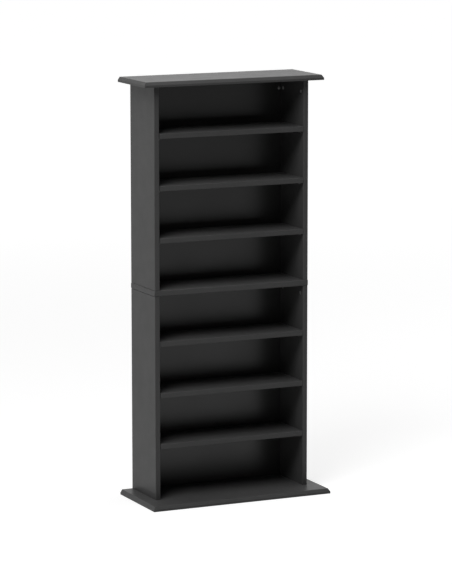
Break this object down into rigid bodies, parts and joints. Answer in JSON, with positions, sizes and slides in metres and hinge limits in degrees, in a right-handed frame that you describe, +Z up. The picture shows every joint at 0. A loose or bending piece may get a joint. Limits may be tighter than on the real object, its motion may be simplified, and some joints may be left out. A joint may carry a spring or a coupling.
{
  "type": "cd dvd storage tower",
  "caption": "Tall open-fronted storage tower for discs, with a deeper moulded base and top, a fixed waist board between two banks of compartments, and loose shelves on pins.",
  "frame": {"origin": "on the floor under the middle of the base board", "axes": "+Z up, the open front faces -Y, +X to the right seen from the front"},
  "size_m": [0.598, 0.264, 1.302],
  "materials": {
    "laminate": "satin black laminate on particleboard",
    "hardboard": "matt black faced hardboard",
    "zinc": "die-cast zinc, dull",
    "steel": "zinc-plated steel"
  },
  "bodies": {
    "carcase": {"top_panel": "laminate", "waist_panel": "laminate", "base_panel": "laminate", "side_upper_left": "laminate", "side_upper_right": "laminate", "side_lower_left": "laminate", "side_lower_right": "laminate", "back_upper": "hardboard", "back_lower": "hardboard", "cam_top_left_front": "zinc", "cam_top_left_rear": "zinc", "cam_top_right_front": "zinc", "cam_top_right_rear": "zinc", "cam_waist_left_front": "zinc", "cam_waist_left_rear": "zinc", "cam_waist_right_front": "zinc", "cam_waist_right_rear": "zinc", "pin_upper_1_left_front": "steel", "pin_upper_1_left_rear": "steel", "pin_upper_1_right_front": "steel", "pin_upper_1_right_rear": "steel", "pin_upper_2_left_front": "steel", "pin_upper_2_left_rear": "steel", "pin_upper_2_right_front": "steel", "pin_upper_2_right_rear": "steel", "pin_upper_3_left_front": "steel", "pin_upper_3_left_rear": "steel", "pin_upper_3_right_front": "steel", "pin_upper_3_right_rear": "steel", "pin_lower_1_left_front": "steel", "pin_lower_1_left_rear": "steel", "pin_lower_1_right_front": "steel", "pin_lower_1_right_rear": "steel", "pin_lower_2_left_front": "steel", "pin_lower_2_left_rear": "steel", "pin_lower_2_right_front": "steel", "pin_lower_2_right_rear": "steel", "pin_lower_3_left_front": "steel", "pin_lower_3_left_rear": "steel", "pin_lower_3_right_front": "steel", "pin_lower_3_right_rear": "steel", "cam_bolt_top_left_front": "steel", "cam_bolt_top_left_rear": "steel", "cam_bolt_top_right_front": "steel", "cam_bolt_top_right_rear": "steel", "cam_bolt_waist_left_front": "steel", "cam_bolt_waist_left_rear": "steel", "cam_bolt_waist_right_front": "steel", "cam_bolt_waist_right_rear": "steel", "base_screw_left_front": "steel", "base_screw_left_rear": "steel", "base_screw_right_front": "steel", "base_screw_right_rear": "steel"},
    "shelf_upper_1": {"shelf_upper_1": "laminate"},
    "shelf_upper_2": {"shelf_upper_2": "laminate"},
    "shelf_upper_3": {"shelf_upper_3": "laminate"},
    "shelf_lower_1": {"shelf_lower_1": "laminate"},
    "shelf_lower_2": {"shelf_lower_2": "laminate"},
    "shelf_lower_3": {"shelf_lower_3": "laminate"}
  },
  "joints": [
    {"name": "shelf_upper_1_draw", "type": "slide", "parent": "carcase", "child": "shelf_upper_1", "axis": [0, -1, 0], "range_m": [0, 0.14]},
    {"name": "shelf_upper_2_draw", "type": "slide", "parent": "carcase", "child": "shelf_upper_2", "axis": [0, -1, 0], "range_m": [0, 0.14]},
    {"name": "shelf_upper_3_draw", "type": "slide", "parent": "carcase", "child": "shelf_upper_3", "axis": [0, -1, 0], "range_m": [0, 0.14]},
    {"name": "shelf_lower_1_draw", "type": "slide", "parent": "carcase", "child": "shelf_lower_1", "axis": [0, -1, 0], "range_m": [0, 0.14]},
    {"name": "shelf_lower_2_draw", "type": "slide", "parent": "carcase", "child": "shelf_lower_2", "axis": [0, -1, 0], "range_m": [0, 0.14]},
    {"name": "shelf_lower_3_draw", "type": "slide", "parent": "carcase", "child": "shelf_lower_3", "axis": [0, -1, 0], "range_m": [0, 0.14]}
  ]
}
